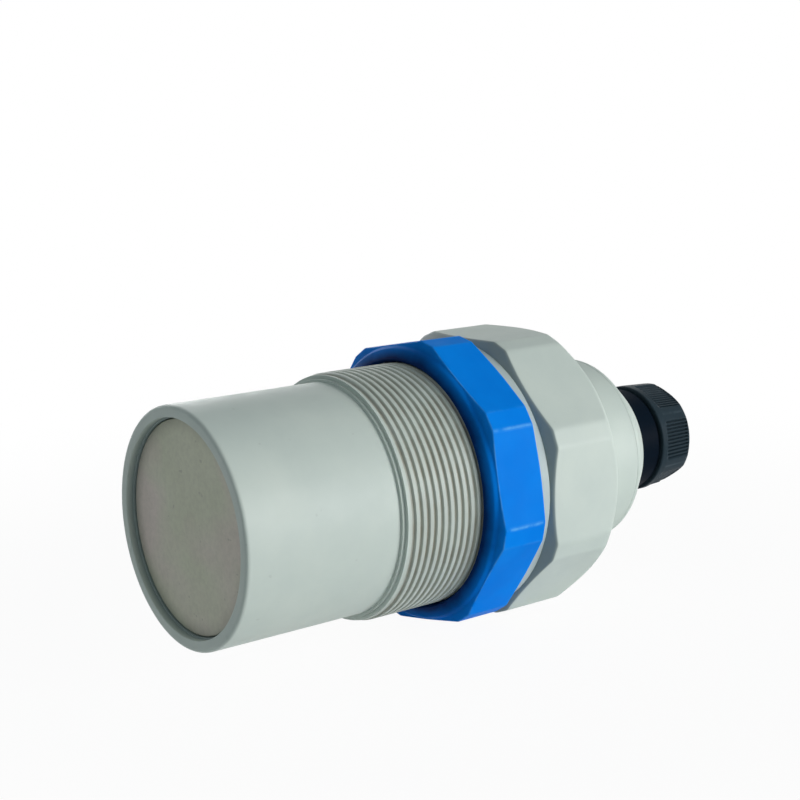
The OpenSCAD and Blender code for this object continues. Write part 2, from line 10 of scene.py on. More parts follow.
import bmesh
import bpy
from mathutils import Matrix, Vector


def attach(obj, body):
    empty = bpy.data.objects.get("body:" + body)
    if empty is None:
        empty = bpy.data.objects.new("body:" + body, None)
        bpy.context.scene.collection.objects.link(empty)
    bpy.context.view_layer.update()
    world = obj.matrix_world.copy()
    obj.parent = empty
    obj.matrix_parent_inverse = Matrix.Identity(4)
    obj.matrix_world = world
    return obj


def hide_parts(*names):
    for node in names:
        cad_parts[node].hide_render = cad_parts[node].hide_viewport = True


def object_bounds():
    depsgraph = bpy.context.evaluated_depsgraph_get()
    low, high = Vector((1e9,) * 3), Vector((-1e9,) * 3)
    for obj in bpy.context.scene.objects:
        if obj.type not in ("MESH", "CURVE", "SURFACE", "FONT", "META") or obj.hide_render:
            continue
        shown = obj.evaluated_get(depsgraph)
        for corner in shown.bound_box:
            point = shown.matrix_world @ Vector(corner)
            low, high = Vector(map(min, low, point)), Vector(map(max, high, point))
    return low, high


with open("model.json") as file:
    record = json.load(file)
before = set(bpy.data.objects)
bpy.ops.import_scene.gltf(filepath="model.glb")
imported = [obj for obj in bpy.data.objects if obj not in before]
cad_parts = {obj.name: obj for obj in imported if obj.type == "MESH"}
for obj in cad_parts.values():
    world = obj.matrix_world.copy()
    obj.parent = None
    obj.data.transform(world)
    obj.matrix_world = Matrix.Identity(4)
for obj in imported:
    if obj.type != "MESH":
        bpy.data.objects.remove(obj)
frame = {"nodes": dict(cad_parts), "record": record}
nodes = frame["nodes"]
cad_low, cad_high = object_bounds()

MM = 0.001


# Sizes that the dressed pieces share with the solids

BARREL_R = 28.0
RIM_X = -80.5
POCKET_R = 25.2
BORE_R = 24.0
BORE_STEP_X = 6.0
FACE_X = -78.3
SHOULDER_X = -72.8
THREAD_X = -40.0
THREAD_R = 30.0
THREAD_ROOT_R = 29.394
THREAD_PITCH = 2.0
THREAD_CREST = 0.9
THREAD_ROOT = 0.4
HEAD_AF = 69.3
HEAD_CORNER_W = 4.6
HEAD_SEAT_R = 33.65
HEAD_REAR_R = 34.35
HEAD_FRONT_SLOPE = math.tan(math.radians(30))
HEAD_REAR_SLOPE = math.tan(math.radians(48))
HEAD_LEN = 22.0
HEAD_BORE_R = 21.0
RAIL_X1 = 5.0
RAIL_IN_Y = 17.9
RAIL_SLOT_Z = 0.95
RAIL_OUT_Z = 2.55
NUT_AF = 68.6
NUT_CORNER_W = 4.7
NUT_X0 = -18.2
NUT_X1 = -2.8
NUT_FLAT_X = -16.2
NUT_BASE_R = 34.1
NUT_RIM_R = 33.5
NUT_BORE_R = 30.25
NUT_SLOPE = math.tan(math.radians(14))
NUT_TURN = -11.0
WASHER_R = 33.9
SPIGOT_X = 8.0
SPIGOT_R = 20.9
CAVITY_R = 17.5
CAP_GROOVE_X0 = 16.88
CAP_GROOVE_X1 = 19.12
CAP_GROOVE_R = 19.4
CAP_R = 24.2
CAP_TAPER_X = 40.5
CAP_FLOOR_X = 41.5
CAP_END_X = 47.5
CAP_END_R = 18.5
CAP_STEM_R = 10.25

# The gland nut. A name with AT gives a distance from the nut's front end.
GLAND_NUT_X = 59.4
GLAND_NUT_TURN = -5.0
GLAND_RIM_R = 14.4
GLAND_RIM_EDGE = 0.4
GLAND_FLAT_AT = 2.0
GLAND_FLAT_R = 13.4
GLAND_FLATS = 6
GLAND_TAPER = math.tan(math.radians(3))
GLAND_SEAT_AT = 13.8
GLAND_DOME_AT = -2.0
GLAND_DOME_R = 19.0
GLAND_EXIT_R = 6.0
GLAND_BORE_R = 11.65
RIB_GROOVES = 11
RIB_PITCH = 1.0

# Sizes that only the dressed pieces have
LEDGE_R = 24.9
LEDGE_X = FACE_X - 0.35
DISC_R = LEDGE_R - 0.25
NECK_R = 28.65
NECK_LEN = 0.9
NECK_END_X = THREAD_X + NECK_LEN
THREAD_TURNS = 19
THREAD_EARLY = 2
THREAD_PHASE = 0.47
THREAD_LAND_X = -1.6
FIRST_CREST_R = NECK_R + 0.92
RAIL_X0 = -46.3
RAIL_OUT_Y = 23.8
NUT_MOUTH_R = 30.8
CAP_LINE_X = CAP_TAPER_X - 1.08
CAP_LINE_HALF = 0.12
CAP_LINE_DEPTH = 0.09
RIB_FIELD_AT0 = 2.55
RIB_FIELD_AT1 = 11.5
RIB_FIELD_HALF = 5.5
RIB_FIELD_DEPTH = 0.18
RIB_GROOVE_DEPTH = 0.5
DOME_BLEND = 0.35

# How finely the meshes are divided. The merge distance is in metres.
MERGE_DISTANCE = 1e-7
SHARP_ANGLE = 38
LATHE_SEGMENTS = 160
ROUND_STEPS = 4
FLAT_HOLD = 0.2
OCTAGON_ROUND_STEPS = 3
WIDE_FLAT_PARTS = 10
NARROW_FLAT_PARTS = 3
# Places within one pitch of the thread
THREAD_FRACTIONS = (0, 0.09, 0.13, 0.18, 0.23, 0.28, 0.35, 0.5, 0.65, 0.72, 0.77, 0.82, 0.87, 0.91)
# Places across a groove between two ribs, across the plain bands and at a corner of the gland nut
RIB_STEPS = (-0.3, -0.18, -0.06, 0.06, 0.18, 0.3)
BAND_STEPS = (5.45, 5.6, 5.8, 6.2, 6.6, 7.0, 7.3, 7.55)
CORNER_STEP = 7.7
# Distances from the gland nut's front end
GLAND_STEPS = (
    0, 0.05, 0.2, 0.4, 0.6, 1.4, 1.7, 1.9, 2.05, 2.2, 2.4, 2.6, 2.75, 2.9, 3.05, 3.3, 3.7, 5, 7, 9,
    10.1, 10.7, 11.1, 11.4, 11.7, 12.1, 12.6, 13.1, 13.6, 14.1, 14.6, 15.1, 15.5, 15.8)


# Building blocks of the meshes

def axis_point(x, r, degrees):
    """The place, in metres, of a point given by its place along the axis, its radius and its angle."""
    a = math.radians(degrees)
    return (x * MM, r * math.sin(a) * MM, -r * math.cos(a) * MM)


def step_up(value):
    """A smooth rise from 0 to 1."""
    value = min(max(value, 0), 1)
    return value * value * (3 - 2 * value)


def new_object(name, verts, faces, merge=False, **marks):
    """A smooth-shaded mesh object whose normals point outwards. Each mark is a list with one number for
    each point. It becomes an attribute of that name, which the materials use for worn edges with a painted
    highlight, for dirt and painted shade in grooves, and for painted shade on the sheltered faces."""
    mesh = bpy.data.meshes.new(name)
    mesh.from_pydata(verts, [], faces)
    for key, values in marks.items():
        mesh.attributes.new(key, "FLOAT", "POINT").data.foreach_set("value", values)
    bm = bmesh.new()
    bm.from_mesh(mesh)
    if merge:
        bmesh.ops.remove_doubles(bm, verts=bm.verts, dist=MERGE_DISTANCE)
    bmesh.ops.recalc_face_normals(bm, faces=bm.faces)
    for face in bm.faces:
        face.smooth = True
    for edge in bm.edges:
        if len(edge.link_faces) == 2 and edge.calc_face_angle() > math.radians(SHARP_ANGLE):
            edge.smooth = False
    bm.to_mesh(mesh)
    bm.free()
    obj = bpy.data.objects.new(name, mesh)
    bpy.context.scene.collection.objects.link(obj)
    return obj


def arc_points(a, corner, b, steps):
    """Points of a rounding from a to b round a corner."""
    shares = [k / steps for k in range(steps + 1)]
    return [a * (1 - s) ** 2 + corner * (2 * s * (1 - s)) + b * s ** 2 for s in shares]


def soften(corners, closed=True):
    """A profile with rounded corners. Each corner is (x, r, cut), and cut is how far from the corner the
    rounding starts, up to nearly half of the stretch. Every straight stretch gets a point near each of its
    ends, which keeps it flat in the shading. The number of points depends only on the corners' number and
    on which of them are rounded."""
    count = len(corners)
    arcs = []
    for i, (x, r, cut) in enumerate(corners):
        here = Vector((x, r))
        at_end = not closed and i in (0, count - 1)
        if cut <= 0 or at_end:
            arcs.append([here])
            continue
        back = Vector(corners[i - 1][:2]) - here
        ahead = Vector(corners[(i + 1) % count][:2]) - here
        a = here + back.normalized() * min(cut, 0.45 * back.length)
        b = here + ahead.normalized() * min(cut, 0.45 * ahead.length)
        arcs.append(arc_points(a, here, b, ROUND_STEPS))
    points = []
    for i, arc in enumerate(arcs):
        points.extend(arc)
        if i == count - 1 and not closed:
            break
        a = arc[-1]
        b = arcs[(i + 1) % count][0]
        length = max((b - a).length, 1e-9)
        share = min(FLAT_HOLD / length, 0.2)
        points.append(a.lerp(b, share))
        points.append(a.lerp(b, 1 - share))
    return [(p.x, p.y) for p in points]


def skin(columns, angles, closed=True):
    """Points and faces of a surface round the axis, from one profile for each angle."""
    rows = len(columns[0])
    verts = [axis_point(x, r, a) for a, column in zip(angles, columns) for x, r in column]
    faces = []
    count = len(angles)
    for i in range(count):
        n = (i + 1) % count
        for j in range(rows if closed else rows - 1):
            k = (j + 1) % rows
            faces.append((i * rows + j, n * rows + j, n * rows + k, i * rows + k))
    return verts, faces


def lathe(name, corners, closed=True):
    """A turned piece from the corners of its profile."""
    profile = soften(corners, closed)
    angles = [360 * i / LATHE_SEGMENTS for i in range(LATHE_SEGMENTS)]
    verts, faces = skin([profile] * LATHE_SEGMENTS, angles, closed)
    return new_object(name, verts, faces, merge=True)


def octagon_outline(af, corner_w, rounding):
    """Angles, radii and edge marks round an octagon with narrow flats across its corners. Angle 0 is the
    middle of a wide flat. An edge mark is 1 where two flats meet and 0 on the flats."""
    half = math.radians(22.5)
    flat = af / 2 * math.tan(half) - corner_w / 2 / math.cos(half)
    corners = []
    for k in range(8):
        turned = Matrix.Rotation(math.radians(45 * k), 2)
        for t in (-flat, flat):
            corners.append(turned @ Vector((af / 2, t)))
    arcs = []
    for i, here in enumerate(corners):
        a = here + (corners[i - 1] - here).normalized() * rounding
        b = here + (corners[(i + 1) % 16] - here).normalized() * rounding
        arcs.append(arc_points(a, here, b, OCTAGON_ROUND_STEPS))
    marked = []
    for i, arc in enumerate(arcs):
        for k, p in enumerate(arc):
            marked.append((p, 1.0 if 0 < k < OCTAGON_ROUND_STEPS else 0.35))
        a = arc[-1]
        b = arcs[(i + 1) % 16][0]
        wide = i % 2 == 0
        parts = WIDE_FLAT_PARTS if wide else NARROW_FLAT_PARTS
        first = 0.02 if wide else 0.08
        for share in [first] + [k / parts for k in range(1, parts)] + [1 - first]:
            marked.append((a.lerp(b, share), 0.0))
    found = sorted((math.degrees(math.atan2(p.y, p.x)) % 360, p.length, mark) for p, mark in marked)
    return [list(part) for part in zip(*found)]


# Housing: rim, barrel, helical thread and octagonal head in one skin

def housing_front():
    """The profile from the sensing face's shoulder over the low ledge round the face, round the rim, along
    the barrel and along the narrow neck to the thread's start."""
    return soften([
        (SHOULDER_X, BORE_R + 0.5, 0), (SHOULDER_X, LEDGE_R, 0), (LEDGE_X, LEDGE_R, 0.1),
        (LEDGE_X, POCKET_R, 0.05), (RIM_X, POCKET_R, 0.3), (RIM_X, BARREL_R, 0.9),
        (THREAD_X, BARREL_R, 0.08), (THREAD_X, NECK_R + 0.06, 0.12), (NECK_END_X, NECK_R - 0.06, 0.05),
        (NECK_END_X, NECK_R + 0.3, 0),
    ], closed=False)


def housing_rear(r):
    """The profile from the plain land behind the thread over the head, where the head has the radius r, and
    back through the bore to the sensing face's shoulder."""
    front_x = (r - HEAD_SEAT_R) * HEAD_FRONT_SLOPE
    rear_x = HEAD_LEN - (r - HEAD_REAR_R) * HEAD_REAR_SLOPE
    return soften([
        (THREAD_LAND_X, THREAD_ROOT_R, 0), (0, THREAD_ROOT_R, 0.3), (0, HEAD_SEAT_R, 0.3),
        (front_x, r, 0.6), (rear_x, r, 0.7), (HEAD_LEN, HEAD_REAR_R, 0.5), (HEAD_LEN, HEAD_BORE_R, 0.2),
        (BORE_STEP_X, HEAD_BORE_R, 0), (BORE_STEP_X, BORE_R, 0), (SHOULDER_X, BORE_R, 0),
    ], closed=False)


def thread_height(fraction):
    """How high the thread stands above its root, from 0 to 1, at a place within one pitch."""
    from_crest = abs(fraction - 0.5) * THREAD_PITCH - THREAD_CREST / 2
    flank = (THREAD_PITCH - THREAD_CREST - THREAD_ROOT) / 2
    rise = min(max(1 - from_crest / flank, 0), 1)
    return 0.5 * rise + 0.5 * step_up(rise)


def thread_point(whole, part, fraction):
    """The place along the axis, the radius and the groove mark of a point of the thread. The groove mark is
    dirt and painted shade, stronger towards the root. Whole and part count the turns up to the point, and
    the fraction is its place within one pitch. The helix starts early, and what lies before the thread's
    start is cut off square."""
    turns = whole + part
    x = THREAD_X + THREAD_PITCH * (turns + fraction - THREAD_EARLY + THREAD_PHASE)
    if x < NECK_END_X:
        x = NECK_END_X
        fraction = (NECK_LEN / THREAD_PITCH + THREAD_EARLY - part - THREAD_PHASE) % 1
    run_out = step_up((THREAD_TURNS - 0.05 - turns) / 0.35)
    height = thread_height(fraction) * run_out
    lead = x - NECK_END_X
    root = THREAD_ROOT_R - 0.25 * (1 - step_up(lead / 2))
    top = FIRST_CREST_R + (THREAD_R - FIRST_CREST_R) * step_up((lead - 1.1) / 0.8)
    r = min(root + (THREAD_R - root) * height, top)
    # The groove mark is dirt and painted shade, stronger towards the root.
    mark = (0.25 + 0.75 * (1 - height)) * step_up((lead - 0.2) / 0.6)
    return x, r, mark


def make_housing():
    angles, radii, _ = octagon_outline(HEAD_AF, HEAD_CORNER_W, 0.7)
    count = len(angles)
    last = count - 1
    per_pitch = len(THREAD_FRACTIONS)
    verts, faces, grooves, shades = [], [], [], []

    def add_ring(points, groove_marks=None, shade_marks=None):
        first = len(verts)
        verts.extend(points)
        grooves.extend(groove_marks or [0.0] * count)
        shades.extend(shade_marks or [0.0] * count)
        return list(range(first, len(verts)))

    def bridge(a, b):
        for i in range(count):
            n = (i + 1) % count
            faces.append((a[i], a[n], b[n], b[i]))

    # The rim's inner wall gets painted shade, darker towards the ledge.
    front_rings = []
    for x, r in housing_front():
        inside = r < POCKET_R + 0.02 and x < SHOULDER_X + 0.1
        painted_wall_shade = 1 - 0.95 * step_up((LEDGE_X - x) / (LEDGE_X - RIM_X)) if inside else 0.0
        front_rings.append(add_ring([axis_point(x, r, a) for a in angles], shade_marks=[painted_wall_shade] * count))

    # The head's front bevel gets painted shade.
    rear_rings = []
    for ring in zip(*[housing_rear(r) for r in radii]):
        points, painted_bevel_shade = [], []
        for (x, r), angle, radius in zip(ring, angles, radii):
            bevelled = HEAD_SEAT_R + 0.05 < r < radius - 0.05 and x < HEAD_LEN / 2
            points.append(axis_point(x, r, angle))
            painted_bevel_shade.append(1.0 if bevelled else 0.0)
        rear_rings.append(add_ring(points, shade_marks=painted_bevel_shade))

    helix = []
    for j in range(THREAD_TURNS * per_pitch + 1):
        points, marks = [], []
        for angle in angles:
            part = (angle - angles[0]) / 360
            x, r, mark = thread_point(j // per_pitch, part, THREAD_FRACTIONS[j % per_pitch])
            points.append(axis_point(x, r, angle))
            marks.append(mark)
        helix.append(add_ring(points, groove_marks=marks))

    for rings in (front_rings, rear_rings):
        for a, b in zip(rings, rings[1:]):
            bridge(a, b)
    bridge(rear_rings[-1], front_rings[0])

    # The helix is joined to itself one pitch further on, and to the rings before and behind it.
    for j in range(len(helix) - 1):
        here, after = helix[j], helix[j + 1]
        for i in range(last):
            faces.append((here[i], here[i + 1], after[i + 1], after[i]))
        if j + per_pitch + 1 < len(helix):
            faces.append((here[last], helix[j + per_pitch][0], helix[j + per_pitch + 1][0], after[last]))
    before, behind = front_rings[-1], rear_rings[0]
    for i in range(last):
        faces.append((before[i], before[i + 1], helix[0][i + 1], helix[0][i]))
        faces.append((helix[-1][i], helix[-1][i + 1], behind[i + 1], behind[i]))
    faces.append((before[last], before[0], helix[per_pitch][0], helix[0][last]))
    end_edge = [ring[last] for ring in helix[-per_pitch - 1:]]
    faces.append((*end_edge, behind[last], behind[0], helix[-1][0]))
    return new_object("housing_shell", verts, faces, merge=True, groove=grooves, shade=shades)


# Lock nut

def nut_profile(radius):
    """The lock nut's profile where its flats have the given radius."""
    bevel = (radius - NUT_BASE_R) * NUT_SLOPE
    return soften([
        (NUT_X0 + 0.8, NUT_BORE_R, 0.2), (NUT_X0, NUT_MOUTH_R, 0.3), (NUT_X0 + 1.0, NUT_RIM_R, 0.3),
        (NUT_FLAT_X, NUT_BASE_R, 0.3), (NUT_FLAT_X + bevel, radius, 0.35), (NUT_X1 - bevel, radius, 0.3),
        (NUT_X1, NUT_BASE_R, 0.2), (NUT_X1, NUT_MOUTH_R, 0.2), (NUT_X1 - 0.8, NUT_BORE_R, 0.2)])


def nut_marks(x, r, radius, angle, edge):
    """How much the lock nut is lightened and darkened at a point of its profile. The edges between the
    flats are lightened strongly at every other wide flat, and the front and rear edges a little: wear and a
    painted highlight. The front face gets painted shade, darker towards the thread."""
    bevel = (radius - NUT_BASE_R) * NUT_SLOPE
    front_x = NUT_FLAT_X + bevel
    rear_x = NUT_X1 - bevel
    outside = r > NUT_BASE_R - 0.1
    # Edge lines: wear and a painted highlight.
    wear_and_highlight = 0.0
    if outside and x > rear_x - 0.2:
        wear_and_highlight = 0.4
    elif outside and r > radius - 0.2 and abs(x - front_x) < 0.25:
        wear_and_highlight = 0.3
    elif outside and front_x + 0.3 < x < rear_x - 0.3:
        every_other = round(angle / 45) % 2 == 0
        wear_and_highlight = edge * (0.7 if every_other else 0.1)
    # Painted shade on the front face, darker towards the thread.
    dirt_and_shade_marks = 0.0
    if x < front_x - 0.1:
        dirt_and_shade_marks = 1.1 * (1 - step_up((r - NUT_MOUTH_R) / (radius - NUT_MOUTH_R)))
    return wear_and_highlight, dirt_and_shade_marks


def make_lock_nut():
    angles, radii, edges = octagon_outline(NUT_AF, NUT_CORNER_W, 0.35)
    columns = [nut_profile(radius) for radius in radii]
    verts, faces = skin(columns, [a + NUT_TURN for a in angles])
    wear_and_highlight, dirt_and_shade_marks = [], []
    for angle, edge, radius, column in zip(angles, edges, radii, columns):
        for x, r in column:
            wear_and_highlight_mark, dirt_and_shade = nut_marks(x, r, radius, angle, edge)
            wear_and_highlight.append(wear_and_highlight_mark)
            dirt_and_shade_marks.append(dirt_and_shade)
    return new_object("lock_nut_shell", verts, faces, edge=wear_and_highlight, groove=dirt_and_shade_marks)


# Gland nut

def gland_radius(x, t, angle, cut):
    """The gland nut's outer radius at a distance x from its front end and a place t across one of its
    flats, at an angle from the flat's middle. Cut is the depth of the groove between two ribs there."""
    from_rim = x - GLAND_FLAT_AT
    if from_rim > 0:
        ring = GLAND_RIM_R - from_rim * GLAND_TAPER
    else:
        edge = min(x / GLAND_RIM_EDGE, 1)
        ring = GLAND_RIM_R - GLAND_RIM_EDGE * (1 - math.sqrt(1 - (1 - edge) ** 2))
    flat = (GLAND_FLAT_R - from_rim * GLAND_TAPER) / math.cos(math.radians(angle))
    r = ring + (min(ring, flat) - ring) * step_up((from_rim + 0.05) / 0.4)
    field = RIB_FIELD_DEPTH * step_up((RIB_FIELD_HALF - abs(t)) / 0.2)
    within = step_up((x - RIB_FIELD_AT0) / 0.4) * step_up((RIB_FIELD_AT1 - x) / 0.5)
    r -= (cut + field) * within
    dome = math.sqrt(max(GLAND_DOME_R ** 2 - (x - GLAND_DOME_AT) ** 2, GLAND_EXIT_R ** 2))
    near = max(DOME_BLEND - abs(r - dome), 0) / DOME_BLEND
    return min(r, dome) - near * near * DOME_BLEND / 4


def make_gland_nut():
    """The domed nut: a plain round rim, six tapered flats with a ribbed field between two plain bands on
    each, and a smooth dome with the cable's opening."""
    grooves = [RIB_PITCH * (k - (RIB_GROOVES - 1) / 2) for k in range(RIB_GROOVES)]
    places = {CORNER_STEP}
    for t in grooves:
        places.update(round(t + d, 4) for d in RIB_STEPS)
    for t in BAND_STEPS:
        places.update((t, -t))
    # From the cable's opening to the seal's seat, and then along the fingers and the neck to the front end
    inside = [
        (16.03, GLAND_EXIT_R), (15.6, GLAND_EXIT_R), (14.1, GLAND_EXIT_R), (GLAND_SEAT_AT, GLAND_EXIT_R),
        (GLAND_SEAT_AT, 9.9), (12.1, 10.15), (8.6, 11.05), (8.4, GLAND_BORE_R), (0.5, GLAND_BORE_R),
        (0, GLAND_BORE_R + 0.35)]
    unmarked = [0.0] * len(inside)
    angles, columns, wear_and_highlight, dirt_and_shade_marks = [], [], [], []
    for side in range(GLAND_FLATS):
        for t in sorted(places):
            angle = math.degrees(math.atan2(t, GLAND_FLAT_R))
            nearest = min(abs(t - g) for g in grooves)
            cut = RIB_GROOVE_DEPTH * step_up((0.32 - nearest) / 0.24)
            outside = [(x, gland_radius(x, t, angle, cut)) for x in GLAND_STEPS]
            angles.append(-90 + GLAND_NUT_TURN + 360 / GLAND_FLATS * side + angle)
            columns.append([(x + GLAND_NUT_X, r) for x, r in outside + inside])
            # The corners get a lighter line: wear and a painted highlight.
            corner = 0.35 * step_up((abs(t) - 7.2) / 0.3)
            # The rib grooves get dirt and painted shade.
            groove = 0.35 if cut > 0.2 else 0.0
            wear_and_highlight.extend([corner if 2.3 < x < 11.2 else 0.0 for x in GLAND_STEPS] + unmarked)
            dirt_and_shade_marks.extend([groove if 2.6 < x < 11.4 else 0.0 for x in GLAND_STEPS] + unmarked)
    verts, faces = skin(columns, angles)
    return new_object("gland_nut_shell", verts, faces, edge=wear_and_highlight, groove=dirt_and_shade_marks)


# Rails

def make_board_rails():
    """The slotted rails that hold the board's edges, moulded in the housing's bore."""
    verts, faces = [], []
    box_faces = ((0, 1, 3, 2), (4, 6, 7, 5), (0, 4, 5, 1), (2, 3, 7, 6), (0, 2, 6, 4), (1, 5, 7, 3))
    for side in (-1, 1):
        for level in (-1, 1):
            first = len(verts)
            for x in (RAIL_X0, RAIL_X1):
                for y in sorted((side * RAIL_IN_Y, side * RAIL_OUT_Y)):
                    for z in sorted((level * RAIL_SLOT_Z, level * RAIL_OUT_Z)):
                        verts.append((x * MM, y * MM, z * MM))
            faces.extend(tuple(first + k for k in corners) for corners in box_faces)
    return new_object("board_rails", verts, faces)


housing = make_housing()
lock_nut = make_lock_nut()
gland_nut = make_gland_nut()
rails = make_board_rails()
washer = lathe("washer_shell", [
    (NUT_X1, NUT_BORE_R, 0.15), (NUT_X1, WASHER_R, 0.4), (0, WASHER_R, 0.4), (0, NUT_BORE_R, 0.15)])
# A fine line runs round the rear cap close to its taper.
rear_cap = lathe("rear_cap_shell", [
    (SPIGOT_X, CAVITY_R, 0.2), (SPIGOT_X, SPIGOT_R, 0.3), (CAP_GROOVE_X0, SPIGOT_R, 0.1),
    (CAP_GROOVE_X0, CAP_GROOVE_R, 0.2), (CAP_GROOVE_X1, CAP_GROOVE_R, 0.2), (CAP_GROOVE_X1, SPIGOT_R, 0.1),
    (HEAD_LEN, SPIGOT_R, 0.2), (HEAD_LEN, CAP_R, 0.3), (CAP_LINE_X - CAP_LINE_HALF, CAP_R, 0),
    (CAP_LINE_X, CAP_R - CAP_LINE_DEPTH, 0.05), (CAP_LINE_X + CAP_LINE_HALF, CAP_R, 0),
    (CAP_TAPER_X, CAP_R, 0.4), (CAP_END_X, CAP_END_R, 0.5), (CAP_END_X, CAP_STEM_R, 0.3),
    (CAP_FLOOR_X, CAP_STEM_R, 0.2), (CAP_FLOOR_X, CAVITY_R, 0.4)])
# A narrow gap lies between the disc and the ledge round it.
face_disc = lathe("face_disc_shell", [
    (FACE_X, 0, 0), (FACE_X, DISC_R, 0.25), (SHOULDER_X, DISC_R, 0.2), (SHOULDER_X, 0, 0)], closed=False)


# Building blocks of the materials

def linear(colour):
    """A display colour, given as three numbers up to 255, as the shader's linear colour."""
    out = []
    for channel in colour:
        c = channel / 255
        out.append(c / 12.92 if c <= 0.04045 else ((c + 0.055) / 1.055) ** 2.4)
    return (*out, 1.0)


def shader(name, colour, roughness, specular=0.5):
    """A new material, its node tree and its main shader."""
    material = bpy.data.materials.new(name)
    material.use_nodes = True
    tree = material.node_tree
    main = tree.nodes["Principled BSDF"]
    main.inputs["Base Color"].default_value = colour
    main.inputs["Roughness"].default_value = roughness
    main.inputs["Specular IOR Level"].default_value = specular
    return material, tree, main


def object_coords(tree):
    return tree.nodes.new("ShaderNodeTexCoord").outputs["Object"]


def noise(tree, coords, scale, detail=4.0):
    """A noise pattern with about as many patches to the metre as its scale."""
    node = tree.nodes.new("ShaderNodeTexNoise")
    node.inputs["Scale"].default_value = scale
    node.inputs["Detail"].default_value = detail
    node.inputs["Roughness"].default_value = 0.55
    tree.links.new(coords, node.inputs["Vector"])
    return node.outputs["Fac"]


def attribute(tree, name):
    """A mark of the mesh."""
    node = tree.nodes.new("ShaderNodeAttribute")
    node.attribute_name = name
    return node.outputs["Fac"]


def times(tree, a, b):
    """A value times another value or a number."""
    node = tree.nodes.new("ShaderNodeMath")
    node.operation = "MULTIPLY"
    tree.links.new(a, node.inputs[0])
    if isinstance(b, float):
        node.inputs[1].default_value = b
    else:
        tree.links.new(b, node.inputs[1])
    return node.outputs["Value"]


def stretch(tree, value, low, high, to_low=0.0, to_high=1.0):
    """A value brought from one range to another."""
    node = tree.nodes.new("ShaderNodeMapRange")
    node.clamp = True
    for key, number in (("From Min", low), ("From Max", high), ("To Min", to_low), ("To Max", to_high)):
        node.inputs[key].default_value = number
    tree.links.new(value, node.inputs["Value"])
    return node.outputs["Result"]


def two_tone(tree, factor, low, high):
    """A colour that goes from one to another by a factor."""
    node = tree.nodes.new("ShaderNodeMix")
    node.data_type = "RGBA"
    tree.links.new(factor, node.inputs["Factor"])
    node.inputs["A"].default_value = low
    node.inputs["B"].default_value = high
    return node.outputs["Result"]


def tint(tree, base, factor, colour):
    """A colour mixed over another by a factor."""
    node = tree.nodes.new("ShaderNodeMix")
    node.data_type = "RGBA"
    tree.links.new(factor, node.inputs["Factor"])
    tree.links.new(base, node.inputs["A"])
    node.inputs["B"].default_value = colour
    return node.outputs["Result"]


def from_axis(tree, coords):
    """The distance from the sensor's axis, in metres."""
    flat = tree.nodes.new("ShaderNodeVectorMath")
    flat.operation = "MULTIPLY"
    flat.inputs[1].default_value = (0, 1, 1)
    tree.links.new(coords, flat.inputs[0])
    length = tree.nodes.new("ShaderNodeVectorMath")
    length.operation = "LENGTH"
    tree.links.new(flat.outputs["Vector"], length.inputs[0])
    return length.outputs["Value"]


def uneven_gloss(tree, main, pattern, low, high):
    """A roughness that changes from patch to patch."""
    tree.links.new(stretch(tree, pattern, 0.25, 0.75, low, high), main.inputs["Roughness"])


def grain(tree, main, pattern, strength):
    """A fine relief on the surface, with its height in metres."""
    node = tree.nodes.new("ShaderNodeBump")
    node.inputs["Strength"].default_value = strength
    node.inputs["Distance"].default_value = 0.00004
    tree.links.new(pattern, node.inputs["Height"])
    tree.links.new(node.outputs["Normal"], main.inputs["Normal"])


# Materials

def moulded(name, light, dark, roughness, specular=0.5, wear_and_highlight=None, dirt_and_shade=None, thin=0.55, specks=None,
            painted_shade=None):
    """Moulded plastic: a slow change of tone, uneven gloss and a fine grain. One colour lightens the marked
    edges with wear and a painted highlight. Another darkens the grooves with dirt and painted shade, and
    the lock nut's front with painted shade alone, and thin is its share where there is least of it. Specks
    is the colour of a few small marks, and one more colour is painted shade on the faces marked for shade."""
    material, tree, main = shader(name, linear(light), roughness, specular)
    coords = object_coords(tree)
    tone = stretch(tree, noise(tree, coords, 55), 0.35, 0.65)
    colour = two_tone(tree, tone, linear(dark), linear(light))
    # Grooves are darkened with dirt and painted shade, and the lock nut's front with painted shade alone.
    if dirt_and_shade:
        patchy = stretch(tree, noise(tree, coords, 160), 0.3, 0.6, thin, 1.0)
        colour = tint(tree, colour, times(tree, attribute(tree, "groove"), patchy), linear(dirt_and_shade))
    # Painted shade on the faces marked for shade: the rim's inner wall and the head's front bevel.
    if painted_shade:
        colour = tint(tree, colour, attribute(tree, "shade"), linear(painted_shade))
    if specks:
        spots = stretch(tree, noise(tree, coords, 420, 1.0), 0.77, 0.81)
        colour = tint(tree, colour, times(tree, spots, 0.15), linear(specks))
    # Marked edges are lightened: wear and a painted highlight.
    if wear_and_highlight:
        ragged = stretch(tree, noise(tree, coords, 260, 3.0), 0.34, 0.6)
        colour = tint(tree, colour, times(tree, attribute(tree, "edge"), ragged), linear(wear_and_highlight))
    tree.links.new(colour, main.inputs["Base Color"])
    uneven_gloss(tree, main, noise(tree, coords, 240), roughness - 0.06, roughness + 0.08)
    grain(tree, main, noise(tree, coords, 1800, 2.0), 0.12)
    return material


